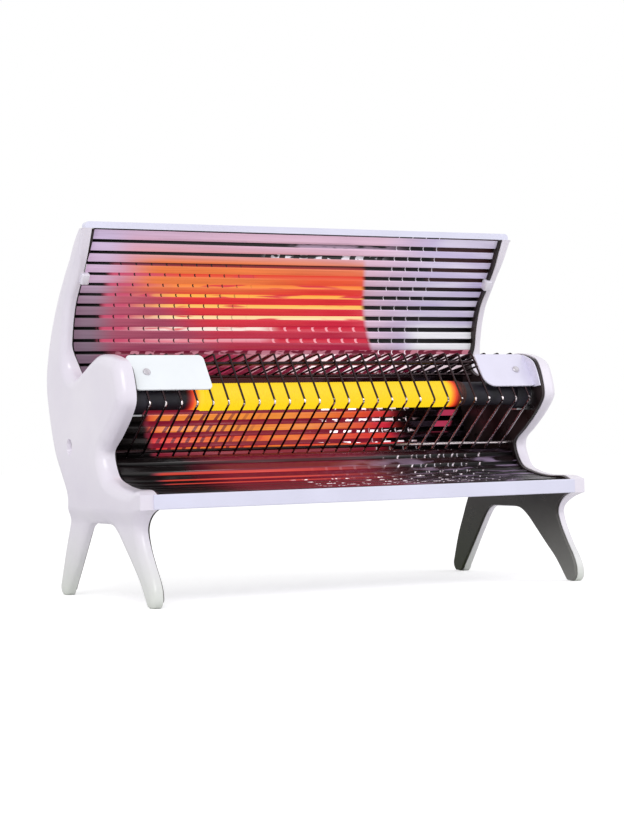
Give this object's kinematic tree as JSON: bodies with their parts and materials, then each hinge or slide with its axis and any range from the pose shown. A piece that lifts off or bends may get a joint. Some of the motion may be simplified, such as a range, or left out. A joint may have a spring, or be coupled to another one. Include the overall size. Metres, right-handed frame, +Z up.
{
  "type": "electric bar heater",
  "caption": "Free-standing electric bar heater: a glowing ceramic rod before a ribbed mirror reflector, behind a bent wire guard, between moulded white sides on splayed legs.",
  "frame": {"origin": "centre of the heater's footprint on the floor", "axes": "+Z up, +X to the right seen from the front, -Y to the front"},
  "size_m": [0.462, 0.2301, 0.342],
  "materials": {
    "shell": "glossy white moulded plastic",
    "lining": "charcoal moulded plastic, satin",
    "mirror_sheet": "ribbed bright stainless steel",
    "painted_sheet": "white powder coat",
    "trim": "gloss white enamel",
    "wire": "nickel-plated wire",
    "ceramic": "fired ceramic, matte",
    "glow": "glowing resistance wire",
    "zinc": "zinc-plated steel",
    "plate": "white enamelled plate, bare",
    "screw": "plated screw",
    "bush": "black nylon",
    "sleeve": "heat-proof sleeve"
  },
  "bodies": {
    "root": {"left_side_shell": "shell", "right_side_shell": "shell", "left_inner_lining": "lining", "right_inner_lining": "lining", "reflector": "mirror_sheet", "back_cover": "painted_sheet", "base_pan": "painted_sheet", "front_lip": "trim", "top_rail": "trim", "guard_wires": "wire", "guard_bottom_rod": "wire", "guard_top_rod": "wire", "guard_rear_rod": "wire", "ceramic_rod": "ceramic", "heating_coil": "glow", "end_caps": "ceramic", "element_brackets": "zinc", "terminal_studs": "zinc", "terminal_nuts": "zinc", "left_corner_plate": "plate", "right_corner_plate": "plate", "plate_clamps": "zinc", "plate_screws": "screw", "left_wing_clip": "mirror_sheet", "right_wing_clip": "mirror_sheet", "low_tie_bar": "zinc", "middle_tie_bar": "zinc", "high_tie_bar": "zinc", "tie_screws": "zinc", "cover_screws": "screw", "shell_screws": "screw", "cord_gland": "bush", "terminal_block": "bush", "thermal_cutout": "zinc", "lead_grommets": "bush", "live_lead": "sleeve", "neutral_lead": "sleeve"}
  },
  "joints": []
}
